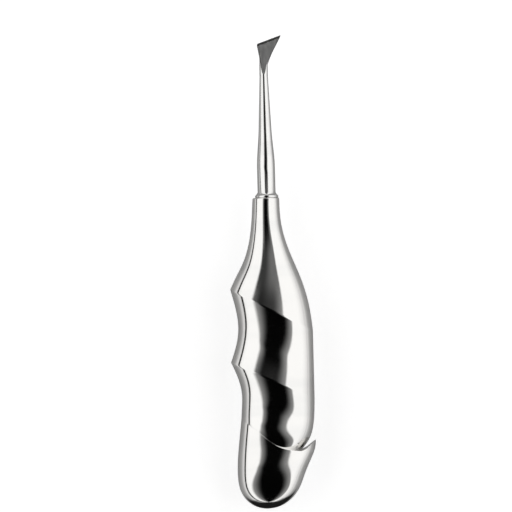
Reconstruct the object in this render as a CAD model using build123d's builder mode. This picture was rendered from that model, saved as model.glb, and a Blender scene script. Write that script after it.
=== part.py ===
from build123d import *
import os
from math import cos, hypot, radians, sin, sqrt, tan
from typing import NamedTuple

# Dental elevator with an anatomical grip, all in polished stainless steel, in millimetres.
# It lies on the broad side of its grip. +Y runs along the shank's axis towards the blade,
# +X is the palm side of the grip and +Z is up. Two pieces: the grip, and the shank that is
# pressed into it and carries the blade.

os.makedirs("parts", exist_ok=True)

# Lengths of the grip along the axis, from the seam with the shank down
neck_length = 35.2
finger_1_width = 22.2
finger_2_width = 17.3
pommel_length = 23.7

# Where the neck's sections lie, as shares of its length from the seam, and how much of
# ridge 1's tilt each has
throat_share = 0.23
throat_tilt_share = 0.1
neck_share = 0.45
neck_tilt_share = 0.33
shoulder_share = 0.67
shoulder_tilt_share = 0.62
flare_share = 0.84
flare_tilt_share = 0.84

# Where the sections of finger 2's scoop and of the pommel lie, as shares of their lengths
descent_share = 0.25
scoop_2_share = 0.5
lobe_share = 0.78
root_share = -0.3
lip_share = 0.16
mound_share = 0.33
middle_share = 0.52
heel_share = 0.77
end_share = 0.92
cap_share = 0.98

# Reaches of the grip to the left of the axis, where the fingers lie
left_seam = 4.55
left_throat = 5.1
left_neck = 6.2
left_shoulder = 8.35
left_flare = 10.5
left_ridge_1 = 12.3
left_scoop_1 = 10.05
left_ridge_2 = 12.6
left_descent = 10.5
left_scoop_2 = 9.45
left_lobe = 9.5
left_ridge_3 = 9.75
left_root = 9.5
left_foot = 10.35
left_lip = 10.8
left_mound = 11.2
left_pommel = 11.35
left_heel = 10.4
left_end = 7.7
left_cap = 5.1

# Reaches of the grip to the right of the axis, where the palm lies
right_seam = 3.95
right_throat = 4.4
right_neck = 6.7
right_shoulder = 10.6
right_flare = 12.7
right_palm = 13.6
right_descent = 13.45
right_scoop_2 = 13.0
right_lobe = 11.55
right_notch = 9.35
right_root = 11.5
right_foot = 13.3
right_lip = 13.6
right_mound = 12.2
right_pommel = 10.15
right_heel = 7.6
right_end = 4.1
right_cap = 1.2

# Half of the grip's thickness
half_seam = 4.25
half_throat = 4.7
half_neck = 5.6
half_shoulder = 7.6
half_flare = 8.9
half_ridge = 9.7
half_scoop_1 = 8.8
half_descent = 9.2
half_scoop_2 = 8.9
half_lobe = 9.1
half_ridge_3 = 9.1
half_root = 8.25
half_foot = 8.5
half_lip = 8.65
half_pommel = 8.9
half_heel = 7.0
half_end = 4.3
half_cap = 2.3

# Sections fall away to the right, in degrees, as the fingers lie across the grip
tilt_ridge_1 = 27.5
tilt_ridge_2 = 23.7
tilt_ridge_3 = 28.0

# Fullness of a section's quarter curves: 0.552 makes an ellipse, and more is squarer
seam_fullness = 0.58
grip_fullness = 0.66
pommel_fullness = 0.69

# Ridge 3 sags below a straight line, and beyond the notch a lip rises to the right. The
# sag's points lie at shares of the grip's reach to either side
ridge_3_sag = 2.9
sag_start_share = 0.35
parting_start_share = 1.3
parting_upper_share = 0.6
parting_lower_share = 0.1
notch_gap = 0.4
lip_rise = 3.6
lobe_shrink = 0.74
lobe_drop = 4.1
end_offset = 2.2
seam_round = 0.4

# Shank: tang, collar, cylinder and slender taper
tang_diameter = 4.0
tang_length = 22.0
tang_chamfer = 0.4
socket_clearance = 0.02
socket_spare = 0.5
socket_point = 1.2
collar_diameter = 7.4
collar_height = 0.8
collar_round = 0.2
cone_height = 0.9
shank_diameter = 5.7
shank_straight = 9.5
waist_diameter = 4.1
waist_height = 21.5
throat_diameter = 2.7
throat_length = 4.0

# Blade: a pennant whose long edge rises to the right, flat in front and domed behind
blade_reach = 51.5
blade_length = 9.5
blade_root_share = 0.9
blade_left = 2.15
blade_right = 6.0
blade_rise = 2.85
blade_back = 1.35
face_length = 12.6
face_drop = 1.35
face_stock = 0.1
bevel_width = 0.6
bevel_depth = 0.15

# Places that follow from the sizes: the origin lies under the middle of the instrument
ridge_1_level = neck_length
ridge_2_level = ridge_1_level + finger_1_width
ridge_3_level = ridge_2_level + finger_2_width
grip_length = ridge_3_level + pommel_length
blade_root = blade_reach - blade_length
throat_height = blade_root - throat_length
face_start = blade_reach - face_length
seam_y = grip_length - (grip_length + blade_reach) / 2
axis_x = (left_ridge_2 - right_lip) / 2
axis_z = half_ridge
axis = Axis((axis_x, seam_y, axis_z), (0, 1, 0))
front_plane = Plane(origin=(axis_x, seam_y, axis_z))
side_plane = Plane(origin=(axis_x, seam_y, axis_z), x_dir=(0, 1, 0), z_dir=(1, 0, 0))
# Cuts and their outlines reach this far past the grip
clear = 40.0


class Section(NamedTuple):
    """A cross-section of the grip: where its plane lies and how far the grip reaches."""

    level: float
    tilt: float
    left: float
    right: float
    half: float
    fullness: float


def neck_section(share, tilt_share, left, right, half):
    """Place a section between the seam and ridge 1."""
    tilt = tilt_share * tilt_ridge_1
    fullness = seam_fullness + tilt_share * (grip_fullness - seam_fullness)
    return Section(share * neck_length, tilt, left, right, half, fullness)


def finger_2_section(share, left, right, half):
    """Place a section between ridge 2 and ridge 3."""
    level = ridge_2_level + share * finger_2_width
    tilt = tilt_ridge_2 + share * (tilt_ridge_3 - tilt_ridge_2)
    return Section(level, tilt, left, right, half, grip_fullness)


def pommel_section(share, left, right, half):
    """Place a section between ridge 3 and the end of the pommel."""
    return Section(ridge_3_level + share * pommel_length, 0, left, right, half, pommel_fullness)


def sketch_section(section):
    """Sketch one egg-shaped section of the grip, alike in front and behind."""
    across = cos(radians(section.tilt))
    fall = sin(radians(section.tilt))
    left = -section.left / across
    right = section.right / across
    half = section.half
    crest = (left + right) / 2
    fullness = section.fullness
    bulge = fullness * half
    near_left = crest + fullness * (left - crest)
    near_right = crest + fullness * (right - crest)
    plane = Plane(
        origin=(axis_x, seam_y - section.level, axis_z),
        x_dir=(across, -fall, 0),
        z_dir=(-fall, -across, 0),
    )
    with BuildSketch(plane) as sketch:
        with BuildLine():
            Bezier((crest, half), (near_right, half), (right, bulge), (right, 0))
            Bezier((right, 0), (right, -bulge), (near_right, -half), (crest, -half))
            Bezier((crest, -half), (near_left, -half), (left, -bulge), (left, 0))
            Bezier((left, 0), (left, bulge), (near_left, half), (crest, half))
        make_face()
    return sketch.sketch


def sketch_stack(sections):
    """Sketch the sections of one stretch of the grip, in order, for a loft."""
    return [sketch_section(section) for section in sections]


# Sections of the grip: the neck opens to ridge 1, and each finger's scoop ends at a ridge
neck_sections = [
    neck_section(0, 0, left_seam, right_seam, half_seam),
    neck_section(throat_share, throat_tilt_share, left_throat, right_throat, half_throat),
    neck_section(neck_share, neck_tilt_share, left_neck, right_neck, half_neck),
    neck_section(
        shoulder_share, shoulder_tilt_share, left_shoulder, right_shoulder, half_shoulder
    ),
    neck_section(flare_share, flare_tilt_share, left_flare, right_flare, half_flare),
    neck_section(1, 1, left_ridge_1, right_palm, half_ridge),
]
scoop_1 = Section(
    (ridge_1_level + ridge_2_level) / 2,
    (tilt_ridge_1 + tilt_ridge_2) / 2,
    left_scoop_1,
    right_palm,
    half_scoop_1,
    grip_fullness,
)
ridge_2 = finger_2_section(0, left_ridge_2, right_palm, half_ridge)
finger_1_sections = [neck_sections[-1], scoop_1, ridge_2]

# Below ridge 3 the palm's lobe rounds over, and its root is hidden in the pommel
lobe_root = Section(
    ridge_3_level + lobe_drop,
    tilt_ridge_3,
    left_ridge_3,
    lobe_shrink * right_notch,
    half_root,
    grip_fullness,
)
finger_2_sections = [
    ridge_2,
    finger_2_section(descent_share, left_descent, right_descent, half_descent),
    finger_2_section(scoop_2_share, left_scoop_2, right_scoop_2, half_scoop_2),
    finger_2_section(lobe_share, left_lobe, right_lobe, half_lobe),
    finger_2_section(1, left_ridge_3, right_notch, half_ridge_3),
    lobe_root,
]
pommel_sections = [
    pommel_section(root_share, left_root, right_root, half_root),
    pommel_section(0, left_foot, right_foot, half_foot),
    pommel_section(lip_share, left_lip, right_lip, half_lip),
    pommel_section(mound_share, left_mound, right_mound, half_pommel),
    pommel_section(middle_share, left_pommel, right_pommel, half_pommel),
    pommel_section(heel_share, left_heel, right_heel, half_heel),
    pommel_section(end_share, left_end, right_end, half_end),
    pommel_section(cap_share, left_cap, right_cap, half_cap),
]
pommel_end = Vertex(axis_x - end_offset, seam_y - grip_length, axis_z)

# Parting of the upper grip and the pommel, seen from the front: ridge 3, notch and lip
ridge_3_slope = tan(radians(tilt_ridge_3))
lip_slope = lip_rise / (right_lip - right_notch)
start_x = -parting_start_share * left_ridge_3
upper_x = -parting_upper_share * left_ridge_3
lower_x = parting_lower_share * right_notch
root_x = right_notch + notch_gap
ridge_3_points = [
    (start_x, -ridge_3_level - ridge_3_slope * start_x),
    (upper_x, -ridge_3_level - ridge_3_slope * upper_x - sag_start_share * ridge_3_sag),
    (lower_x, -ridge_3_level - ridge_3_slope * lower_x - ridge_3_sag),
    (root_x, -ridge_3_level - ridge_3_slope * root_x - notch_gap / 2),
]
ridge_3_outside = (start_x - clear, ridge_3_points[0][1] + clear * ridge_3_slope)
lip_outside = (root_x + clear, ridge_3_points[-1][1] + clear * lip_slope)


def sketch_beyond(y):
    """Sketch all that lies between the parting and a line across the grip at y."""
    with BuildSketch(front_plane) as region:
        with BuildLine():
            Line(ridge_3_outside, ridge_3_points[0])
            Spline(ridge_3_points)
            Polyline(
                ridge_3_points[-1],
                lip_outside,
                (lip_outside[0], y),
                (ridge_3_outside[0], y),
                ridge_3_outside,
            )
        make_face()
    return region.sketch


# Upper grip: neck and two finger scoops, cut off along ridge 3
with BuildPart() as upper_grip:
    loft(sketch_stack(neck_sections))
    loft(sketch_stack(finger_1_sections))
    loft(sketch_stack(finger_2_sections))
    extrude(sketch_beyond(-grip_length - clear), amount=clear, both=True, mode=Mode.SUBTRACT)

# Pommel: rounded at its end, with the lip that stands up beside the notch
with BuildPart() as pommel:
    loft(sketch_stack(pommel_sections) + [pommel_end])
    extrude(sketch_beyond(clear), amount=clear, both=True, mode=Mode.SUBTRACT)

# Handle: both fused in one, with the drilled socket that takes the shank's tang
socket_radius = tang_diameter / 2 + socket_clearance
socket_depth = tang_length + socket_spare
with BuildPart() as handle:
    add(upper_grip.part)
    add(pommel.part)
    fillet(handle.faces().sort_by(Axis.Y)[-1].edges(), seam_round)
    with BuildSketch(front_plane):
        with BuildLine():
            Polyline(
                (0, 0),
                (0, -socket_depth - socket_point),
                (socket_radius, -socket_depth),
                (socket_radius, 0),
                close=True,
            )
        make_face()
    revolve(axis=axis, mode=Mode.SUBTRACT)

# Shaft: turned in one from the tang's end to the root of the blade
tang_radius = tang_diameter / 2
collar_radius = collar_diameter / 2
shank_radius = shank_diameter / 2
waist_radius = waist_diameter / 2
throat_radius = throat_diameter / 2
taper = (throat_radius - waist_radius, throat_height - waist_height)
with BuildPart() as shaft:
    with BuildSketch(front_plane):
        with BuildLine():
            Polyline(
                (0, blade_root),
                (0, -tang_length),
                (tang_radius - tang_chamfer, -tang_length),
                (tang_radius, -tang_length + tang_chamfer),
                (tang_radius, 0),
                (collar_radius, 0),
                (collar_radius, collar_height),
                (shank_radius, collar_height + cone_height),
                (shank_radius, shank_straight),
            )
            Spline(
                (shank_radius, shank_straight),
                (waist_radius, waist_height),
                tangents=[(0, 1), taper],
            )
            Polyline(
                (waist_radius, waist_height),
                (throat_radius, throat_height),
                (throat_radius, blade_root),
                (0, blade_root),
            )
        make_face()
    revolve(axis=axis)
    rims = shaft.edges().filter_by(GeomType.CIRCLE).sort_by(SortBy.RADIUS)[-2:]
    fillet(rims, collar_round)

# Blade: lofted from the shaft's round end to the long slanting edge, with stock to grind off
blade_run = blade_left + blade_right
blade_width = hypot(blade_run, blade_rise)
face_slope = face_drop / face_length
left_height = throat_radius - face_slope * (face_length - blade_rise)
right_height = throat_radius - face_drop
left_corner = (0, left_height + face_stock)
right_corner = (blade_width, right_height + face_stock)
root_half = blade_root_share * throat_radius
root_height = throat_radius * sqrt(1 - blade_root_share**2)
root_plane = Plane(
    origin=(axis_x, seam_y + blade_root, axis_z), x_dir=(1, 0, 0), z_dir=(0, -1, 0)
)
edge_plane = Plane(
    origin=(axis_x - blade_left, seam_y + blade_reach - blade_rise, axis_z),
    x_dir=(blade_run / blade_width, blade_rise / blade_width, 0),
    z_dir=(blade_rise / blade_width, -blade_run / blade_width, 0),
)
bevel_fall = bevel_depth + face_slope * bevel_width * blade_run / blade_width
bevel_reach = blade_width * bevel_width
bevel_low = (-bevel_reach, bevel_depth + blade_width * bevel_fall)
bevel_high = (bevel_reach, bevel_depth - blade_width * bevel_fall)
bevel_plane = Plane(
    origin=edge_plane.from_local_coords((0, left_height, 0)),
    x_dir=(blade_rise, -blade_run, 0),
    z_dir=(blade_run, blade_rise, -face_slope * blade_rise),
)
with BuildPart() as blade:
    with BuildSketch(root_plane) as root:
        with BuildLine():
            ThreePointArc((-root_half, root_height), (0, throat_radius), (root_half, root_height))
            ThreePointArc((root_half, root_height), (0, -throat_radius), (-root_half, root_height))
        make_face()
    with BuildSketch(edge_plane) as edge:
        with BuildLine():
            Line(left_corner, right_corner)
            ThreePointArc(right_corner, (blade_width / 2, -blade_back), left_corner)
        make_face()
    loft([root.sketch, edge.sketch], ruled=True)

# Shank: shaft and blade in one, with the working face ground flat and its edge bevelled
with BuildPart() as shank:
    add(shaft.part)
    add(blade.part)
    with BuildSketch(side_plane):
        with BuildLine():
            Polyline(
                (face_start - clear, throat_radius + face_slope * clear),
                (face_start + clear, throat_radius - face_slope * clear),
                (face_start + clear, clear),
                (face_start - clear, clear),
                close=True,
            )
        make_face()
    extrude(amount=clear, both=True, mode=Mode.SUBTRACT)
    with BuildSketch(bevel_plane):
        with BuildLine():
            Polyline(bevel_low, bevel_high, (-bevel_reach, bevel_high[1]), close=True)
        make_face()
    extrude(amount=clear, both=True, mode=Mode.SUBTRACT)

handle.part.label = "handle"
export_step(handle.part, "parts/handle.step")

shank.part.label = "shank"
export_step(shank.part, "parts/shank.step")
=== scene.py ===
"""Looks of the dental elevator: mirror-polished grip, slender shank and ground blade."""

import logging
from dataclasses import dataclass, field
from enum import Enum
from math import atan2, cos, pi, radians, sin, sqrt, tan
from typing import Callable

import bmesh
import bpy
import numpy as np
from mathutils import Matrix, Vector


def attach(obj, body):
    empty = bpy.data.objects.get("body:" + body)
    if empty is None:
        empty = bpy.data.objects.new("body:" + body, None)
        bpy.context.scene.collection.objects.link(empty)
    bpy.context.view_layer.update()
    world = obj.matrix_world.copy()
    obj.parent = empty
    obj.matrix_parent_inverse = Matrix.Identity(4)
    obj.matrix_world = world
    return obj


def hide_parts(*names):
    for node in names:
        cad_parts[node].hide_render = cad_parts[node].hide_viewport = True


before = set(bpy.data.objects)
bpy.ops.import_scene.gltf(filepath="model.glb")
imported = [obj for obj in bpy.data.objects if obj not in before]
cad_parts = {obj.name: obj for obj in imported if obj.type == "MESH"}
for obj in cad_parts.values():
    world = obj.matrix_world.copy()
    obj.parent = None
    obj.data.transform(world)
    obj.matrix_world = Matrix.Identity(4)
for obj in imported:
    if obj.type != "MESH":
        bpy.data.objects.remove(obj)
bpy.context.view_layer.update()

LOG = logging.getLogger("dental_elevator")
MM = 0.001
# Points closer than this, in millimetres, are one point.
WELD = 1e-5
# How often a range is halved on the way to a crossing.
HALVINGS = 40

Ring = np.ndarray
Curve = Callable[[float], float]
Mesh = bmesh.types.BMesh
NodeTree = bpy.types.NodeTree
Socket = bpy.types.NodeSocket
Colour = tuple[float, float, float]
Span = tuple[float, float]
WHITE: Colour = (1.0, 1.0, 1.0)


class RayKind(Enum):
    """Outputs of the Light Path node that this scene asks for."""

    CAMERA = "Is Camera Ray"
    GLOSSY = "Is Glossy Ray"
    TRANSMISSION = "Is Transmission Ray"


@dataclass(frozen=True)
class Placement:
    """Where the instrument's own axis lies in the row frame, in millimetres."""

    axis_x: float = -0.5
    seam_y: float = 23.45
    axis_z: float = 9.7

    def to_row(self, point: np.ndarray) -> Vector:
        """Turn a point about the axis, in millimetres, into a place in the row frame.

        Args:
            point: x to the palm side, y up from the seam and z out of the front.

        Returns:
            The same place in the row frame, in metres.
        """
        return Vector((point[0] + self.axis_x, point[1] + self.seam_y, point[2] + self.axis_z)) * MM


class SmoothPath:
    """A natural cubic spline through given stations, evenly curved from end to end."""

    def __init__(self, knots: np.ndarray, values: np.ndarray) -> None:
        """Fit the spline.

        Args:
            knots: Rising station values, one for each row of values.
            values: What the spline passes through, with any shape after the first axis.
        """
        self.knots = np.asarray(knots, float)
        self.values = np.asarray(values, float)
        count = len(self.knots)
        steps = np.diff(self.knots)
        system = np.eye(count)
        target = np.zeros_like(self.values)
        for i in range(1, count - 1):
            system[i, i - 1 : i + 2] = steps[i - 1], 2 * (steps[i - 1] + steps[i]), steps[i]
            rise = (self.values[i + 1] - self.values[i]) / steps[i]
            target[i] = 6 * (rise - (self.values[i] - self.values[i - 1]) / steps[i - 1])
        flat = np.linalg.solve(system, target.reshape(count, -1))
        self.bends = flat.reshape(self.values.shape)

    def at(self, knot: float) -> np.ndarray:
        """Evaluate the spline.

        Args:
            knot: Where, in the same measure as the stations.

        Returns:
            The value there.
        """
        i = int(np.clip(np.searchsorted(self.knots, knot) - 1, 0, len(self.knots) - 2))
        step = self.knots[i + 1] - self.knots[i]
        after = (knot - self.knots[i]) / step
        before = 1 - after
        bend = (before**3 - before) * self.bends[i] + (after**3 - after) * self.bends[i + 1]
        return before * self.values[i] + after * self.values[i + 1] + bend * step**2 / 6


@dataclass(frozen=True)
class Section:
    """An egg-shaped cross-section of the grip, in millimetres and degrees."""

    level: float
    tilt: float
    left: float
    right: float
    half: float
    fullness: float

    def ring(self, around: int) -> Ring:
        """Place points round the section.

        Args:
            around: How many points, a multiple of four.

        Returns:
            One row for each point, from the left over the front to the right and back.
        """
        fall = tan(radians(self.tilt))
        crest = (self.right - self.left) / 2
        quarter = around // 4
        points = []
        for corner, reach in enumerate((-self.left, self.right, self.right, -self.left)):
            front = 1 if corner < 2 else -1
            for i in range(quarter):
                step = i / quarter
                rising = corner in (0, 2)
                t = step if rising else 1 - step
                x, z = self.quarter_point(reach, crest, t)
                points.append((x, -self.level - x * fall, front * z))
        return np.array(points)

    def quarter_point(self, reach: float, crest: float, t: float) -> tuple[float, float]:
        """Find a point on the quarter curve that runs from the side to the crest.

        Args:
            reach: Where the side is, across the grip.
            crest: Where the thickest line is, across the grip.
            t: From 0 at the side to 1 at the crest.

        Returns:
            The place across the grip and the height above its middle.
        """
        stations = (
            (reach, 0.0),
            (reach, self.fullness * self.half),
            (crest + self.fullness * (reach - crest), self.half),
            (crest, self.half),
        )
        weights = ((1 - t) ** 3, 3 * t * (1 - t) ** 2, 3 * t**2 * (1 - t), t**3)
        x = sum(w * station[0] for w, station in zip(weights, stations))
        z = sum(w * station[1] for w, station in zip(weights, stations))
        return x, z


class Loft:
    """A smooth skin over a stack of sections."""

    def __init__(self, rings: list[Ring]) -> None:
        """Fit the skin.

        Args:
            rings: The sections' points, alike in number and order.
        """
        stack = np.array(rings)
        steps = np.linalg.norm(np.diff(stack, axis=0), axis=2).mean(axis=1)
        self.path = SmoothPath(np.concatenate(([0.0], np.cumsum(steps))), stack)
        self.length = float(self.path.knots[-1])

    def ring(self, place: float | np.ndarray) -> Ring:
        """Take the points at one place along the skin, or at a place of each point's own.

        Args:
            place: Distance from the first section, in millimetres.

        Returns:
            The points there.
        """
        if np.ndim(place) == 0:
            return self.path.at(float(place))
        return np.array([self.path.at(float(p))[i] for i, p in enumerate(place)])

    def crossing(self, height: Curve) -> np.ndarray:
        """Find where each line of the skin passes under a curve seen from the front.

        Args:
            height: Gives the curve's y at a place across the grip.

        Returns:
            The distance from the first section for each point round the ring.
        """
        count = self.path.values.shape[1]
        places = np.zeros(count)
        for i in range(count):
            low, high = 0.0, self.length
            for _ in range(HALVINGS):
                middle = (low + high) / 2
                point = self.path.at(middle)[i]
                if point[1] > height(point[0]):
                    low = middle
                else:
                    high = middle
            places[i] = (low + high) / 2
        return places


@dataclass
class Row:
    """One row of the grip's net, and how sharply the skin folds there."""

    ring: Ring
    crease: float = 0.0


def lay_net(mesh: Mesh, across: int, along: int) -> dict[bmesh.types.BMVert, tuple[int, int]]:
    """Lay a flat net that is wrapped round a piece afterwards.

    Args:
        mesh: Receives the net.
        across: How many faces the net is wide.
        along: How many faces it is long.

    Returns:
        The column and row in which each vertex stands.
    """
    net = bmesh.ops.create_grid(mesh, x_segments=across, y_segments=along, size=1.0)["verts"]
    return {
        vert: (round((vert.co.x + 1) / 2 * across), round((vert.co.y + 1) / 2 * along))
        for vert in net
    }


@dataclass
class Handle:
    """The anatomical grip: neck, finger scoops, palm side, notch, lip and pommel.

    Ridges are counted from the seam down. Left is the finger side and right the palm side, and
    both are measured from the axis. The parting's places are shares of ridge 3's reach to the
    left, and to the right of the notch.
    """

    placement: Placement
    neck_length: float = 35.2
    finger_1_width: float = 22.2
    finger_2_width: float = 17.3
    pommel_length: float = 23.7
    tilt_ridge_1: float = 27.5
    tilt_ridge_2: float = 23.7
    tilt_ridge_3: float = 28.0
    seam_fullness: float = 0.58
    grip_fullness: float = 0.66
    pommel_fullness: float = 0.69
    palm: float = 13.6
    lip: float = 13.6
    notch: float = 9.35
    left_ridge_2: float = 12.6
    left_ridge_3: float = 9.75
    half_ridge: float = 9.7
    half_ridge_3: float = 9.1
    half_root: float = 8.25
    half_foot: float = 8.5
    half_lip: float = 8.65
    ridge_3_sag: float = 2.9
    parting_start: float = -1.3
    parting_bend: float = -0.6
    parting_bend_sag: float = 0.35
    parting_low: float = 0.1
    lobe_drop: float = 4.1
    lobe_narrowing: float = 0.74
    notch_gap: float = 0.4
    lip_rise: float = 3.6
    end_offset: float = 2.2
    seam_round: float = 0.4
    socket_radius: float = 2.02
    socket_depth: float = 22.5
    socket_point: float = 1.2
    land_radius: float = 2.51
    edge_round: float = 0.16
    ledge_shares: tuple[float, ...] = (0.0, 0.12, 0.5, 0.88, 1.0)
    around: int = 64
    row_gap: float = 1.5
    round_steps: int = 4
    smooth_levels: int = 2

    @property
    def ridge_2_level(self) -> float:
        """How far below the seam ridge 2 crosses the axis."""
        return self.neck_length + self.finger_1_width

    @property
    def ridge_3_level(self) -> float:
        """How far below the seam ridge 3 crosses the axis."""
        return self.ridge_2_level + self.finger_2_width

    def neck(self) -> list[Section]:
        """List the sections from the seam to ridge 1, which fill out as they tilt."""
        return [
            Section(
                level=share * self.neck_length,
                tilt=tilt * self.tilt_ridge_1,
                left=left,
                right=right,
                half=half,
                fullness=self.seam_fullness + tilt * (self.grip_fullness - self.seam_fullness),
            )
            for share, tilt, left, right, half in (
                (0.0, 0.0, 4.55, 3.95, 4.25),
                (0.23, 0.1, 5.1, 4.4, 4.7),
                (0.45, 0.33, 6.2, 6.7, 5.6),
                (0.67, 0.62, 8.35, 10.6, 7.6),
                (0.84, 0.84, 10.5, 12.7, 8.9),
                (1.0, 1.0, 12.3, self.palm, self.half_ridge),
            )
        ]

    def finger_1(self) -> list[Section]:
        """List the sections from ridge 1 to ridge 2."""
        middle = Section(
            level=self.neck_length + self.finger_1_width / 2,
            tilt=(self.tilt_ridge_1 + self.tilt_ridge_2) / 2,
            left=10.05,
            right=self.palm,
            half=8.8,
            fullness=self.grip_fullness,
        )
        return [self.neck()[-1], middle, self.finger_2()[0]]

    def finger_2(self) -> list[Section]:
        """List the sections from ridge 2 to the lobe's root below ridge 3."""
        lobe_root = Section(
            level=self.ridge_3_level + self.lobe_drop,
            tilt=self.tilt_ridge_3,
            left=self.left_ridge_3,
            right=self.lobe_narrowing * self.notch,
            half=self.half_root,
            fullness=self.grip_fullness,
        )
        scoop = [
            Section(
                level=self.ridge_2_level + share * self.finger_2_width,
                tilt=self.tilt_ridge_2 + share * (self.tilt_ridge_3 - self.tilt_ridge_2),
                left=left,
                right=right,
                half=half,
                fullness=self.grip_fullness,
            )
            for share, left, right, half in (
                (0.0, self.left_ridge_2, self.palm, self.half_ridge),
                (0.25, 10.5, 13.45, 9.2),
                (0.5, 9.45, 13.0, 8.9),
                (0.78, 9.5, 11.55, 9.1),
                (1.0, self.left_ridge_3, self.notch, self.half_ridge_3),
            )
        ]
        return [*scoop, lobe_root]

    def pommel(self) -> list[Section]:
        """List the level sections from above ridge 3 to the cap at the pommel's end."""
        return [
            Section(
                level=self.ridge_3_level + share * self.pommel_length,
                tilt=0.0,
                left=left,
                right=right,
                half=half,
                fullness=self.pommel_fullness,
            )
            for share, left, right, half in (
                (-0.3, 9.5, 11.5, self.half_root),
                (0.0, 10.35, 13.3, self.half_foot),
                (0.16, 10.8, self.lip, self.half_lip),
                (0.33, 11.2, 12.2, 8.9),
                (0.52, 11.35, 10.15, 8.9),
                (0.77, 10.4, 7.6, 7.0),
                (0.92, 7.7, 4.1, 4.3),
                (0.98, 5.1, 1.2, 2.3),
            )
        ]

    def parting(self) -> Curve:
        """Work out the parting of upper grip and pommel: ridge 3, notch and lip.

        Returns:
            A function that gives the parting's y at a place across the grip.
        """
        slope = tan(radians(self.tilt_ridge_3))
        left = self.left_ridge_3
        root = self.notch + self.notch_gap
        low = self.parting_low * self.notch
        stations = (self.parting_start * left, self.parting_bend * left, low, root)
        bend = self.parting_bend_sag * self.ridge_3_sag
        drops = (0.0, bend, self.ridge_3_sag, self.notch_gap / 2)
        heights = [-self.ridge_3_level - slope * x - drop for x, drop in zip(stations, drops)]
        ridge_3 = SmoothPath(np.array(stations), np.array(heights))
        lip_slope = self.lip_rise / (self.lip - self.notch)

        def height(x: float) -> float:
            """Give the parting's y at x."""
            if x > root:
                return heights[-1] + lip_slope * (x - root)
            return float(ridge_3.at(x))

        return height

    def skin(self, sections: list[Section], end: np.ndarray | None = None) -> Loft:
        """Loft a skin over sections.

        Args:
            sections: The sections in order.
            end: A last point that the skin closes on, if any.

        Returns:
            The skin.
        """
        rings = [section.ring(self.around) for section in sections]
        if end is not None:
            rings.append(np.tile(end, (self.around, 1)))
        return Loft(rings)

    def rows_between(
        self, skin: Loft, start: float | np.ndarray, stop: float | np.ndarray
    ) -> list[Row]:
        """Lay rows over a skin from one edge to another, without the edges themselves.

        Args:
            skin: The skin.
            start: Distance at which the rows begin, for all points or for each.
            stop: Distance at which they end, in the same way.

        Returns:
            Evenly spread rows.
        """
        count = max(2, round(float(np.mean(stop - start)) / self.row_gap))
        return [Row(skin.ring(start + (stop - start) * i / count)) for i in range(1, count)]

    def drawn_in(self, ring: Ring, share: float | np.ndarray, y: float) -> Ring:
        """Draw a ring in towards the axis and lay it level.

        Args:
            ring: The ring.
            share: What is kept of each point's distance from the axis.
            y: The new ring's height.

        Returns:
            The new ring.
        """
        return np.stack((ring[:, 0] * share, np.full(len(ring), y), ring[:, 2] * share), axis=1)

    def mouth_rows(self, seam: Ring) -> list[Row]:
        """Lay the rows of the socket, its mouth and the rounded top edge.

        Args:
            seam: The neck's first ring.

        Returns:
            Rows from the socket's point out to the top edge.
        """
        bore = self.socket_radius
        deep = -self.socket_depth
        reach = np.hypot(seam[:, 0], seam[:, 2])
        rows = [Row(self.drawn_in(seam, 0.0, deep - self.socket_point))]
        for radius, y, crease in (
            (bore, deep, 1.0),
            (bore, deep / 2, 0.0),
            (bore, 0.0, 1.0),
            (self.land_radius, 0.0, 0.0),
        ):
            rows.append(Row(self.drawn_in(seam, radius / reach, y), crease))
        for step in range(self.round_steps):
            angle = step / self.round_steps * pi / 2
            share = 1 - self.seam_round * (1 - sin(angle)) / reach
            rows.append(Row(self.drawn_in(seam, share, self.seam_round * (cos(angle) - 1))))
        return rows

    def ledge_rows(self, upper: Ring, lower: Ring, height: Curve) -> list[Row]:
        """Lay the rows of the narrow wall between the upper grip and the pommel.

        Args:
            upper: The upper grip's edge on the parting.
            lower: The pommel's edge on the parting.
            height: The parting's y across the grip.

        Returns:
            Rows from the upper edge to the lower one, with both.
        """
        rows = []
        for share in self.ledge_shares:
            ring = upper + (lower - upper) * share
            ring[:, 1] = [height(x) for x in ring[:, 0]]
            rows.append(Row(ring))
        return rows

    def rows(self) -> list[Row]:
        """Lay all rows of the grip's net, from the socket to the pommel's end.

        Returns:
            The rows in order.
        """
        neck = self.skin(self.neck())
        finger_1 = self.skin(self.finger_1())
        finger_2 = self.skin(self.finger_2())
        end = np.array((-self.end_offset, -self.ridge_3_level - self.pommel_length, 0.0))
        pommel = self.skin(self.pommel(), end)
        height = self.parting()
        cut_above = finger_2.crossing(height)
        cut_below = pommel.crossing(height)
        rows = self.mouth_rows(neck.ring(0.0))
        rows.append(Row(neck.ring(self.seam_round)))
        rows += self.rows_between(neck, self.seam_round, neck.length)
        rows.append(Row(neck.ring(neck.length), crease=1.0))
        rows += self.rows_between(finger_1, 0.0, finger_1.length)
        rows.append(Row(finger_1.ring(finger_1.length), crease=1.0))
        rows += self.rows_between(finger_2, 0.0, cut_above - self.edge_round)
        rows.append(Row(finger_2.ring(cut_above - self.edge_round)))
        rows += self.ledge_rows(finger_2.ring(cut_above), pommel.ring(cut_below), height)
        rows.append(Row(pommel.ring(cut_below + self.edge_round)))
        rows += self.rows_between(pommel, cut_below + self.edge_round, pommel.length)
        rows.append(Row(pommel.ring(pommel.length)))
        return rows

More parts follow.
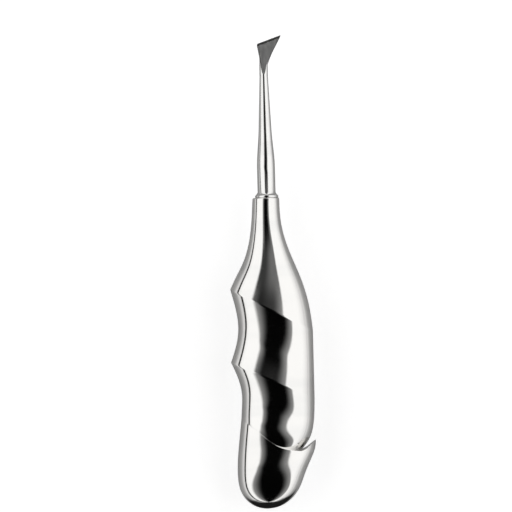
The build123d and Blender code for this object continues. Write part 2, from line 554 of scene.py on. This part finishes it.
    def build(self) -> bpy.types.Object:
        """Wrap a flat net round the grip, weld it shut and smooth it.

        Returns:
            The finished handle.
        """
        rows = self.rows()
        mesh = bmesh.new()
        creases = mesh.edges.layers.float.new("crease_edge")
        places = lay_net(mesh, self.around, len(rows) - 1)
        for edge in mesh.edges:
            first, second = (places[vert][1] for vert in edge.verts)
            if first == second:
                edge[creases] = rows[first].crease
        for vert, (turn, row) in places.items():
            vert.co = self.placement.to_row(rows[row].ring[turn % self.around])
        bmesh.ops.remove_doubles(mesh, verts=mesh.verts, dist=WELD * MM)
        bmesh.ops.recalc_face_normals(mesh, faces=mesh.faces)
        handle = finish_piece("handle_polished", mesh)
        skin = handle.modifiers.new("smooth_skin", "SUBSURF")
        skin.levels = self.smooth_levels
        skin.render_levels = self.smooth_levels
        return handle


@dataclass
class Shank:
    """Tang, collar, cylinder and slender taper, with the pennant blade at its end.

    Heights and reaches are measured from the seam. The blade's and the face's lengths run back
    from the tip, and the throat's from the blade's root.
    """

    placement: Placement
    tang_radius: float = 2.0
    tang_length: float = 22.0
    tang_chamfer: float = 0.4
    collar_radius: float = 3.7
    collar_height: float = 0.8
    collar_round: float = 0.2
    cone_height: float = 0.9
    radius: float = 2.85
    straight: float = 9.5
    waist_radius: float = 2.05
    waist_height: float = 21.5
    throat_radius: float = 1.35
    throat_length: float = 4.0
    blade_reach: float = 51.5
    blade_length: float = 9.5
    blade_left: float = 2.15
    blade_right: float = 6.0
    blade_rise: float = 2.85
    blade_back: float = 1.35
    face_length: float = 12.6
    face_drop: float = 1.35
    face_stock: float = 0.1
    face_rim: float = 0.13
    bevel_width: float = 0.6
    bevel_depth: float = 0.15
    around: int = 96
    blade_rows: int = 36
    taper_rows: int = 24
    round_steps: int = 4
    joining_distance: float = 1e-3
    cut_precision: float = 1e-6
    same_facing: float = 0.9999

    @property
    def blade_root(self) -> float:
        """Where the blade starts to widen."""
        return self.blade_reach - self.blade_length

    @property
    def throat_height(self) -> float:
        """Where the taper ends in the thin throat."""
        return self.blade_root - self.throat_length

    @property
    def face_start(self) -> float:
        """Where the ground face runs out in the shank."""
        return self.blade_reach - self.face_length

    @property
    def face_slope(self) -> float:
        """How steeply the ground face falls towards the tip."""
        return self.face_drop / self.face_length

    @property
    def low_corner(self) -> float:
        """How high the long edge's lower corner lies."""
        return self.blade_reach - self.blade_rise

    @property
    def blade_run(self) -> float:
        """How wide the long edge is across the axis."""
        return self.blade_left + self.blade_right

    @property
    def face_normal(self) -> Vector:
        """The direction in which the ground face looks."""
        return Vector((0, self.face_slope, 1)).normalized()

    def face_height(self, y: float) -> float:
        """Work out how high the ground face lies over the axis at a distance from the seam."""
        return self.throat_radius - self.face_slope * (y - self.face_start)

    def profile(self) -> list[tuple[float, float]]:
        """List the turned outline, as radius and height, from the tang's end up.

        Returns:
            The outline's points.
        """
        points = [
            (0.0, -self.tang_length),
            (self.tang_radius - self.tang_chamfer, -self.tang_length),
            (self.tang_radius, -self.tang_length + self.tang_chamfer),
            (self.tang_radius, 0.0),
        ]
        edge = self.collar_radius - self.collar_round
        for centre, first in ((self.collar_round, -90), (self.collar_height - self.collar_round, 0)):
            for step in range(self.round_steps + 1):
                angle = radians(first + 90 * step / self.round_steps)
                points.append(
                    (edge + self.collar_round * cos(angle), centre + self.collar_round * sin(angle))
                )
        return [
            *points,
            (self.radius, self.collar_height + self.cone_height),
            (self.radius, self.straight),
            *self.taper_points(),
            (self.throat_radius, self.throat_height),
            (self.throat_radius, self.blade_root),
        ]

    def taper_points(self) -> list[tuple[float, float]]:
        """Ease the cylinder into the taper's slope.

        Returns:
            Points above the cylinder, up to the waist.
        """
        run = self.waist_height - self.straight
        slope = (self.throat_radius - self.waist_radius) / (self.throat_height - self.waist_height)
        points = []
        for i in range(1, self.taper_rows + 1):
            t = i / self.taper_rows
            start = 2 * t**3 - 3 * t**2 + 1
            pull = (t**3 - t**2) * slope * run
            points.append(
                (start * self.radius + (1 - start) * self.waist_radius + pull, self.straight + t * run)
            )
        return points

    def blade_ring(self, share: float) -> Ring:
        """Place points round the blade at a share of the way to its long edge.

        Args:
            share: From 0 at the round root to 1 at the long edge.

        Returns:
            Points from the left corner over the front to the right and back behind.
        """
        lift = self.face_height(self.blade_root) + self.face_stock
        half = sqrt(self.throat_radius**2 - lift**2)
        left_z = self.face_height(self.low_corner) + self.face_stock
        right_z = self.face_height(self.blade_reach) + self.face_stock
        corner = round(atan2(lift, half) / (2 * pi) * self.around)
        front = self.around // 2 - 2 * corner
        behind = self.around - front
        points = []
        for i in range(self.around):
            angle = pi - (corner + i) * 2 * pi / self.around
            t = i / front if i <= front else 1 - (i - front) / behind
            bow = 0.0 if i <= front else 1 - (2 * t - 1) ** 2
            root = np.array((cos(angle), 0.0, sin(angle))) * self.throat_radius
            root[1] = self.blade_root
            depth = self.blade_back + (left_z + right_z) / 2
            edge = np.array(
                (
                    -self.blade_left + t * self.blade_run,
                    self.low_corner + t * self.blade_rise,
                    left_z + t * (right_z - left_z) - bow * depth,
                )
            )
            points.append(root + (edge - root) * share)
        return np.array(points)

    def spin_shaft(self, mesh: Mesh) -> None:
        """Turn the outline round the axis.

        Args:
            mesh: Receives the shaft, open at the blade's root.
        """
        line = [mesh.verts.new((radius, y, 0.0)) for radius, y in self.profile()]
        edges = [mesh.edges.new(pair) for pair in zip(line, line[1:])]
        bmesh.ops.spin(
            mesh,
            geom=line + edges,
            cent=(0, 0, 0),
            axis=(0, 1, 0),
            angle=2 * pi,
            steps=self.around,
            use_merge=True,
        )
        bmesh.ops.remove_doubles(mesh, verts=mesh.verts, dist=WELD)

    def wrap_blade(self, mesh: Mesh) -> None:
        """Wrap a flat net round the blade, from its root to the long edge.

        Args:
            mesh: Receives the blade, open at both ends.
        """
        rings = [self.blade_ring(i / self.blade_rows) for i in range(self.blade_rows + 1)]
        places = lay_net(mesh, self.around, self.blade_rows)
        for vert, (turn, row) in places.items():
            vert.co = Vector(rings[row][turn % self.around])
        bmesh.ops.remove_doubles(mesh, verts=list(places), dist=WELD)

    def grind(self, mesh: Mesh, point: Vector, normal: Vector) -> None:
        """Cut the mesh flat along a plane and close the cut with a sharp-edged face.

        Args:
            mesh: The mesh.
            point: A place on the plane.
            normal: The side that is ground away.
        """
        cut = bmesh.ops.bisect_plane(
            mesh,
            geom=mesh.verts[:] + mesh.edges[:] + mesh.faces[:],
            dist=self.cut_precision,
            plane_co=point,
            plane_no=normal,
            clear_outer=True,
        )
        rim = [item for item in cut["geom_cut"] if isinstance(item, bmesh.types.BMEdge)]
        bmesh.ops.holes_fill(mesh, edges=rim, sides=0)
        for edge in rim:
            edge.smooth = False

    def grind_bevel(self, mesh: Mesh) -> None:
        """Take off the narrow bevel along the long edge.

        Args:
            mesh: The shank with its face already ground.
        """
        edge_z = self.face_height(self.low_corner) - self.bevel_depth
        on_edge = Vector((-self.blade_left, self.low_corner, edge_z))
        along = Vector((self.blade_run, self.blade_rise, -self.face_slope * self.blade_rise))
        inward = Vector((self.blade_rise, -self.blade_run, 0)).normalized() * self.bevel_width
        on_face = on_edge + inward
        on_face.z = self.face_height(on_face.y)
        normal = along.cross(on_face - on_edge)
        normal.normalize()
        if normal.z < 0:
            normal.negate()
        self.grind(mesh, on_edge, normal)

    def mark_face(self, mesh: Mesh) -> None:
        """Leave a polished rim round the ground face and give the face its own finish.

        Args:
            mesh: The finished shank.
        """
        mesh.normal_update()
        facing = self.face_normal
        flat = [face for face in mesh.faces if face.normal.dot(facing) > self.same_facing]
        face = max(flat, key=lambda candidate: candidate.calc_area())
        bmesh.ops.inset_region(
            mesh, faces=[face], thickness=self.face_rim, use_boundary=True, use_even_offset=True
        )
        face.material_index = 1

    def build(self) -> bpy.types.Object:
        """Model shaft and blade as one closed piece.

        Returns:
            The finished shank.
        """
        mesh = bmesh.new()
        self.spin_shaft(mesh)
        self.wrap_blade(mesh)
        bmesh.ops.remove_doubles(mesh, verts=mesh.verts, dist=self.joining_distance)
        tip = [edge for edge in mesh.edges if edge.is_boundary]
        bmesh.ops.holes_fill(mesh, edges=tip, sides=0)
        for edge in tip:
            edge.smooth = False
        bmesh.ops.recalc_face_normals(mesh, faces=mesh.faces)
        self.grind(mesh, Vector((0, self.face_start, self.throat_radius)), self.face_normal)
        self.grind_bevel(mesh)
        self.mark_face(mesh)
        open_edges = sum(not edge.is_manifold for edge in mesh.edges)
        LOG.info("shank: %d open or shared edges", open_edges)
        for vert in mesh.verts:
            vert.co = self.placement.to_row(np.array(vert.co))
        bmesh.ops.recalc_face_normals(mesh, faces=mesh.faces)
        return finish_piece("shank_polished", mesh)


def finish_piece(name: str, mesh: Mesh) -> bpy.types.Object:
    """Turn a finished bmesh into a smooth-shaded object at the origin.

    Args:
        name: The object's name.
        mesh: The bmesh, which is freed.

    Returns:
        The new object, linked to the scene.
    """
    for face in mesh.faces:
        face.smooth = True
    data = bpy.data.meshes.new(name)
    mesh.to_mesh(data)
    mesh.free()
    piece = bpy.data.objects.new(name, data)
    bpy.context.scene.collection.objects.link(piece)
    return piece


class NodeKit:
    """Short ways to add nodes to one node tree."""

    def __init__(self, tree: NodeTree) -> None:
        """Keep the tree.

        Args:
            tree: The tree that nodes are added to.
        """
        self.tree = tree

    def node(self, kind: str, **settings: object) -> bpy.types.Node:
        """Add a node and set its properties.

        Args:
            kind: The node's type name.
            **settings: Properties to set.

        Returns:
            The node.
        """
        made = self.tree.nodes.new(kind)
        for name, value in settings.items():
            setattr(made, name, value)
        return made

    def link(self, source: Socket, target: Socket) -> None:
        """Join two sockets."""
        self.tree.links.new(source, target)

    def feed(self, target: Socket, value: float | Colour | Socket) -> None:
        """Give an input a number, a colour or another node's output.

        Args:
            target: The input.
            value: What it receives.
        """
        if isinstance(value, Socket):
            self.link(value, target)
        elif isinstance(value, tuple):
            target.default_value = (*value, 1.0)
        else:
            target.default_value = value

    def math(self, operation: str, *values: float | Socket) -> Socket:
        """Add a Math node.

        Args:
            operation: What it works out.
            *values: Numbers or sockets for its inputs.

        Returns:
            Its output.
        """
        made = self.node("ShaderNodeMath", operation=operation)
        for target, value in zip(made.inputs, values):
            self.feed(target, value)
        return made.outputs[0]

    def mix(self, factor: Socket, first: Colour | Socket, second: Colour) -> Socket:
        """Add a node that mixes two colours.

        Args:
            factor: From 0 for the first colour to 1 for the second.
            first: The first colour.
            second: The second colour.

        Returns:
            The mixed colour.
        """
        made = self.node("ShaderNodeMix", data_type="RGBA")
        self.feed(made.inputs["Factor"], factor)
        self.feed(made.inputs["A"], first)
        self.feed(made.inputs["B"], second)
        return made.outputs["Result"]

    def noise(self, place: Socket, scale: float | Socket, **settings: float) -> Socket:
        """Add a noise pattern.

        Args:
            place: Where the pattern is read.
            scale: How fine it is.
            **settings: Numbers for its other inputs, by name.

        Returns:
            The pattern's value.
        """
        made = self.node("ShaderNodeTexNoise", noise_dimensions="3D")
        self.link(place, made.inputs["Vector"])
        self.feed(made.inputs["Scale"], scale)
        for name, number in settings.items():
            made.inputs[name].default_value = number
        return made.outputs["Fac"]

    def remap(self, value: Socket, low: float, high: float, to_low: float, to_high: float) -> Socket:
        """Spread a value smoothly over another range.

        Args:
            value: What is spread.
            low: Where the range begins.
            high: Where it ends.
            to_low: What low becomes.
            to_high: What high becomes.

        Returns:
            The spread value.
        """
        made = self.node("ShaderNodeMapRange", interpolation_type="SMOOTHSTEP")
        self.link(value, made.inputs["Value"])
        names = ("From Min", "From Max", "To Min", "To Max")
        for name, number in zip(names, (low, high, to_low, to_high)):
            made.inputs[name].default_value = number
        return made.outputs["Result"]


@dataclass(frozen=True)
class PolishingGrain:
    """The polish's grain: fine lines in one direction, soft clouds and a few scratches."""

    line_detail: float = 3.0
    line_roughness: float = 0.6
    cloud_detail: float = 2.0
    scratch_detail: float = 1.0
    scratch_fineness: float = 2.7
    scratch_range: Span = (0.60, 0.72)

    def build(self) -> NodeTree:
        """Build the grain as a node group.

        Returns:
            A group with inputs for the lines' and clouds' scales, and three outputs.
        """
        tree = bpy.data.node_groups.new("polishing_grain", "ShaderNodeTree")
        face = tree.interface
        face.new_socket("Vector", in_out="INPUT", socket_type="NodeSocketVector")
        for name in ("Line Scale", "Cloud Scale"):
            face.new_socket(name, in_out="INPUT", socket_type="NodeSocketFloat")
        for name in ("Lines", "Clouds", "Scratches"):
            face.new_socket(name, in_out="OUTPUT", socket_type="NodeSocketFloat")
        kit = NodeKit(tree)
        given = kit.node("NodeGroupInput").outputs
        result = kit.node("NodeGroupOutput").inputs
        lines = kit.noise(
            given["Vector"],
            given["Line Scale"],
            Detail=self.line_detail,
            Roughness=self.line_roughness,
        )
        clouds = kit.noise(given["Vector"], given["Cloud Scale"], Detail=self.cloud_detail)
        finer = kit.math("MULTIPLY", given["Line Scale"], self.scratch_fineness)
        hairs = kit.noise(given["Vector"], finer, Detail=self.scratch_detail)
        kit.link(lines, result["Lines"])
        kit.link(clouds, result["Clouds"])
        kit.link(kit.remap(hairs, *self.scratch_range, 0.0, 1.0), result["Scratches"])
        return tree


@dataclass(frozen=True)
class SteelFinish:
    """One finish of stainless steel."""

    name: str
    colour: Colour
    shade: Colour
    roughness: float
    roughness_spread: float
    grain_stretch: tuple[float, float, float]
    line_scale: float
    cloud_scale: float
    bump_height: float
    cloud_range: Span = (0.3, 0.6)
    line_range: Span = (0.3, 0.7)

    def material(self, grain: NodeTree) -> bpy.types.Material:
        """Make the finish as a material.

        Args:
            grain: The polishing grain's node group.

        Returns:
            The material.
        """
        made = bpy.data.materials.new(self.name)
        made.use_nodes = True
        kit = NodeKit(made.node_tree)
        shader = made.node_tree.nodes["Principled BSDF"]
        shader.inputs["Metallic"].default_value = 1.0
        place = kit.node("ShaderNodeTexCoord")
        turn = kit.node("ShaderNodeMapping")
        turn.inputs["Scale"].default_value = self.grain_stretch
        kit.link(place.outputs["Object"], turn.inputs["Vector"])
        group = kit.node("ShaderNodeGroup")
        group.node_tree = grain
        group.inputs["Line Scale"].default_value = self.line_scale
        group.inputs["Cloud Scale"].default_value = self.cloud_scale
        kit.link(turn.outputs["Vector"], group.inputs["Vector"])
        clouds = kit.remap(group.outputs["Clouds"], *self.cloud_range, 0.0, 1.0)
        kit.link(kit.mix(clouds, self.shade, self.colour), shader.inputs["Base Color"])
        low = self.roughness - self.roughness_spread
        high = self.roughness + self.roughness_spread
        rough = kit.remap(group.outputs["Lines"], *self.line_range, low, high)
        scratched = kit.math("MULTIPLY_ADD", group.outputs["Scratches"], self.roughness_spread, rough)
        kit.link(scratched, shader.inputs["Roughness"])
        bump = kit.node("ShaderNodeBump")
        bump.inputs["Distance"].default_value = self.bump_height * MM
        bump.inputs["Strength"].default_value = 1.0
        kit.link(group.outputs["Lines"], bump.inputs["Height"])
        kit.link(bump.outputs["Normal"], shader.inputs["Normal"])
        return made


@dataclass(frozen=True)
class Finishes:
    """The instrument's finishes."""

    grip: SteelFinish = SteelFinish(
        name="mirror_polished_grip_steel",
        colour=(0.84, 0.83, 0.81),
        shade=(0.79, 0.785, 0.77),
        roughness=0.075,
        roughness_spread=0.03,
        grain_stretch=(0.12, 1.0, 0.12),
        line_scale=5200.0,
        cloud_scale=140.0,
        bump_height=0.0006,
    )
    shaft: SteelFinish = SteelFinish(
        name="mirror_polished_shank_steel",
        colour=(0.82, 0.815, 0.80),
        shade=(0.76, 0.755, 0.745),
        roughness=0.09,
        roughness_spread=0.035,
        grain_stretch=(0.15, 1.0, 0.15),
        line_scale=4800.0,
        cloud_scale=180.0,
        bump_height=0.0006,
    )
    face: SteelFinish = SteelFinish(
        name="ground_blade_steel",
        colour=(0.66, 0.66, 0.65),
        shade=(0.58, 0.58, 0.575),
        roughness=0.36,
        roughness_spread=0.07,
        grain_stretch=(1.0, 0.06, 1.0),
        line_scale=5600.0,
        cloud_scale=700.0,
        bump_height=0.003,
    )


@dataclass(frozen=True)
class Slot:
    """The dark slot in the light, along the instrument and wider towards its foot.

    Angles are in degrees about the instrument's axis, from straight up to the right. Reaches
    along the axis are the y of a unit direction.
    """

    centre: float = -5.0
    centre_towards_blade: float = 0.0
    centre_towards_foot: float = 5.0
    half_angle: float = 22.5
    core_half_angle: float = 8.0
    left_blur: float = 7.0
    right_blur: float = 3.0
    width_at_foot: float = 2.6
    blade_side: Span = (0.0, 0.16)
    foot_side: Span = (0.1, -0.8)
    grey_side: Span = (0.12, 0.5)
    dark: float = 0.001
    border: float = 0.3
    grey_left: float = 0.045
    grey_right: float = 0.17

    def outside(self, kit: NodeKit, place: Socket) -> Socket:
        """Work out how far a direction lies outside the slot's blurred borders.

        Args:
            kit: Adds the nodes.
            place: Angle from the slot's middle, in radians.

        Returns:
            From 0 in the slot to 1 beside it.
        """
        left = (-self.half_angle - self.left_blur / 2, -self.half_angle + self.left_blur / 2)
        right = (self.half_angle - self.right_blur / 2, self.half_angle + self.right_blur / 2)
        return kit.math(
            "MAXIMUM",
            kit.remap(place, *map(radians, left), 1.0, 0.0),
            kit.remap(place, *map(radians, right), 0.0, 1.0),
        )

    def inside(self, kit: NodeKit, place: Socket, along: Socket) -> Socket:
        """Work out the slot's own level: a dark core, which turns grey towards the blade.

        Args:
            kit: Adds the nodes.
            place: Angle from the slot's middle, in radians.
            along: The direction's y.

        Returns:
            The level.
        """
        core, half = radians(self.core_half_angle), radians(self.half_angle)
        from_core = kit.remap(kit.math("ABSOLUTE", place), core, half, self.dark, self.border)
        grey = kit.remap(place, -core, half / 2, self.grey_left, self.grey_right)
        greyness = kit.remap(along, *self.grey_side, 0.0, 1.0)
        return kit.math("MULTIPLY_ADD", kit.math("SUBTRACT", grey, from_core), greyness, from_core)

    def level(self, kit: NodeKit, turn: Socket, along: Socket, side: Socket) -> Socket:
        """Cut the slot out of an even light.

        Args:
            kit: Adds the nodes.
            turn: Angle about the instrument's axis, in radians.
            along: The direction's y.
            side: The light's level beside the slot.

        Returns:
            The light's level in every direction.
        """
        to_blade = radians(self.centre_towards_blade - self.centre)
        to_foot = radians(self.centre_towards_foot - self.centre)
        shift = kit.math(
            "ADD",
            kit.remap(along, *self.blade_side, 0.0, to_blade),
            kit.remap(along, *self.foot_side, 0.0, to_foot),
        )
        middle = kit.math("ADD", shift, radians(self.centre))
        width = kit.remap(along, *self.foot_side, 1.0, self.width_at_foot)
        place = kit.math("DIVIDE", kit.math("SUBTRACT", turn, middle), width)
        inside = self.inside(kit, place, along)
        difference = kit.math("SUBTRACT", side, inside)
        return kit.math("MULTIPLY_ADD", difference, self.outside(kit, place), inside)


@dataclass
class Studio:
    """Pale floor, soft light with a dark slot overhead, and the photograph's camera.

    Angles are in degrees and places in millimetres, but the floor's size and the camera's
    distance in metres. The floor's lift is the light that it gives off by itself, and in the metal it
    is a painted glow that grows far to the sides; its foot zone is a painted shadow that only the
    metal reflects.
    """

    slot: Slot = field(default_factory=Slot)
    white_level: float = 1.15
    low_level: float = 0.85
    low_angle: float = 100.0
    high_angle: float = 60.0
    strip_angle: float = -85.0
    strip_half_angle: float = 4.0
    strip_blur: float = 3.0
    strip_level: float = 0.04
    floor_colour: Colour = (0.62, 0.62, 0.62)
    floor_roughness: float = 0.9
    floor_cloud_scale: float = 3.0
    floor_cloud_gain: float = 1.02
    floor_lift: float = 0.7
    # Painted light: from this reach out to the sides the floor glows more in the metal's reflections,
    # so nearer the instrument it looks shaded
    painted_glow_reach: Span = (20.0, 90.0)
    painted_glow_far: float = 0.4
    # Painted shadow: a dark zone on the floor beyond the pommel, seen only in the metal
    foot_shadow_x: Span = (12.0, 24.0)
    foot_shadow_y: Span = (-72.0, -84.0)
    foot_shadow_spread: float = 0.35
    painted_foot_shadow_colour: Colour = (0.02, 0.02, 0.02)
    floor_size: float = 6.0
    centre_x: float = -4.35
    centre_y: float = 5.11
    picture_width: float = 162.05
    lean: float = 1.4263
    distance: float = 1.4
    sensor: float = 36.0

    def side_light(self, kit: NodeKit, turn: Socket) -> Socket:
        """Work out the light beside the slot, with a dark strip low on the left.

        Args:
            kit: Adds the nodes.
            turn: Angle about the instrument's axis, in radians.

        Returns:
            The light's level.
        """
        side = kit.remap(
            kit.math("ABSOLUTE", turn),
            radians(self.high_angle),
            radians(self.low_angle),
            self.white_level,
            self.low_level,
        )
        off_strip = kit.math("ABSOLUTE", kit.math("SUBTRACT", turn, radians(self.strip_angle)))
        edge = radians(self.strip_half_angle)
        border = radians(self.strip_half_angle + self.strip_blur)
        strip = kit.remap(off_strip, edge, border, self.strip_level, 1.0)
        return kit.math("MULTIPLY", side, strip)

    def build_world(self) -> None:
        """Light the world: white at both sides, dark in a slot along the instrument."""
        world = bpy.data.worlds.new("studio_light")
        bpy.context.scene.world = world
        world.use_nodes = True
        kit = NodeKit(world.node_tree)
        ground = world.node_tree.nodes["Background"]
        kit.feed(ground.inputs["Color"], WHITE)
        place = kit.node("ShaderNodeTexCoord")
        parts = kit.node("ShaderNodeSeparateXYZ")
        kit.link(place.outputs["Generated"], parts.inputs[0])
        turn = kit.math("ARCTAN2", parts.outputs["X"], parts.outputs["Z"])
        level = self.slot.level(kit, turn, parts.outputs["Y"], self.side_light(kit, turn))
        path = kit.node("ShaderNodeLightPath")
        seen = kit.node("ShaderNodeMix", data_type="FLOAT")
        seen.inputs["B"].default_value = 1.0
        kit.link(path.outputs[RayKind.CAMERA.value], seen.inputs["Factor"])
        kit.link(level, seen.inputs["A"])
        kit.link(seen.outputs["Result"], ground.inputs["Strength"])

    def painted_foot_shadow_zone(self, kit: NodeKit, aside: Socket, along: Socket) -> Socket:
        """Mark the painted shadow on the floor beyond the pommel, which widens away from it.

        Args:
            kit: Adds the nodes.
            aside: Distance from the floor's middle line, in metres.
            along: The floor's y, in metres.

        Returns:
            From 0 on the rest of the floor to 1 in the zone.
        """
        beyond = kit.math("MULTIPLY_ADD", along, self.foot_shadow_spread, aside)
        borders = (MM * (x + self.foot_shadow_spread * self.foot_shadow_y[0]) for x in self.foot_shadow_x)
        inside = kit.remap(beyond, *borders, 1.0, 0.0)
        below = kit.remap(along, *(MM * y for y in self.foot_shadow_y), 0.0, 1.0)
        return kit.math("MULTIPLY", inside, below)

    def floor_material(self) -> bpy.types.Material:
        """Make the floor's white, which keeps the instrument's soft shadow.

        In the metal's reflections it has a painted glow far to the sides and a painted shadow beyond
        the pommel.

        Returns:
            The material.
        """
        made = bpy.data.materials.new("pale_floor")
        made.use_nodes = True
        kit = NodeKit(made.node_tree)
        shader = made.node_tree.nodes["Principled BSDF"]
        shader.inputs["Roughness"].default_value = self.floor_roughness
        shader.inputs["Specular IOR Level"].default_value = 0.0
        kit.feed(shader.inputs["Emission Color"], WHITE)
        place = kit.node("ShaderNodeTexCoord").outputs["Object"]
        parts = kit.node("ShaderNodeSeparateXYZ")
        kit.link(place, parts.inputs[0])
        aside = kit.math("ABSOLUTE", parts.outputs["X"])
        path = kit.node("ShaderNodeLightPath").outputs
        reflected = kit.math("ADD", path[RayKind.GLOSSY.value], path[RayKind.TRANSMISSION.value])
        # Painted light: the floor glows in the metal's reflections only far to the sides, which leaves
        # it looking shaded near the instrument
        painted_far_glow = kit.remap(aside, *(MM * reach for reach in self.painted_glow_reach), 0.0, self.painted_glow_far)
        painted_glow_in_metal = kit.math("MULTIPLY", reflected, painted_far_glow)
        lift = kit.math("MULTIPLY_ADD", path[RayKind.CAMERA.value], self.floor_lift, painted_glow_in_metal)
        kit.link(lift, shader.inputs["Emission Strength"])
        cloud = kit.noise(place, self.floor_cloud_scale)
        lighter = tuple(self.floor_cloud_gain * part for part in self.floor_colour)
        tone = kit.mix(cloud, self.floor_colour, lighter)
        # Painted shadow: the floor beyond the pommel turns near black in the metal's reflections
        painted_foot_shadow = kit.math("MULTIPLY", reflected, self.painted_foot_shadow_zone(kit, aside, parts.outputs["Y"]))
        kit.link(kit.mix(painted_foot_shadow, tone, self.painted_foot_shadow_colour), shader.inputs["Base Color"])
        return made

    def build_floor(self) -> None:
        """Lay the floor under the instrument."""
        mesh = bmesh.new()
        bmesh.ops.create_grid(mesh, x_segments=2, y_segments=2, size=self.floor_size / 2)
        floor = finish_piece("floor", mesh)
        floor.data.materials.append(self.floor_material())

    def build_camera(self) -> None:
        """Look straight down, with the slight lean that the photograph shows."""
        data = bpy.data.cameras.new("photograph_camera")
        data.sensor_width = self.sensor
        data.lens = self.sensor * self.distance / (self.picture_width * MM)
        camera = bpy.data.objects.new("photograph_camera", data)
        middle = Placement().axis_z * MM
        camera.matrix_world = Matrix.Translation(
            (self.centre_x * MM, self.centre_y * MM, middle + self.distance)
        ) @ Matrix.Rotation(radians(-self.lean), 4, "Z")
        bpy.context.scene.collection.objects.link(camera)
        bpy.context.scene.camera = camera
        bpy.context.scene.view_settings.view_transform = "Standard"


@dataclass
class Instrument:
    """The whole elevator, built from its two pieces and dressed."""

    placement: Placement = field(default_factory=Placement)
    finishes: Finishes = field(default_factory=Finishes)

    def dress_handle(self, grain: NodeTree) -> None:
        """Build the handle and give it its polish.

        Args:
            grain: The polishing grain's node group.
        """
        handle = Handle(self.placement).build()
        handle.data.materials.append(self.finishes.grip.material(grain))
        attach(handle, "root")
        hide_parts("handle")
        LOG.info("handle: %d net faces", len(handle.data.polygons))

    def dress_shank(self, grain: NodeTree) -> None:
        """Build the shank, with its own finish on the ground face.

        Args:
            grain: The polishing grain's node group.
        """
        shank = Shank(self.placement).build()
        shank.data.materials.append(self.finishes.shaft.material(grain))
        shank.data.materials.append(self.finishes.face.material(grain))
        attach(shank, "root")
        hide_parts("shank")
        LOG.info("shank: %d faces", len(shank.data.polygons))


def main() -> None:
    """Build the instrument and the studio."""
    logging.basicConfig(level=logging.INFO, format="%(name)s: %(message)s")
    grain = PolishingGrain().build()
    instrument = Instrument()
    instrument.dress_handle(grain)
    instrument.dress_shank(grain)
    studio = Studio()
    studio.build_world()
    studio.build_floor()
    studio.build_camera()


if __name__ == "__main__":
    main()
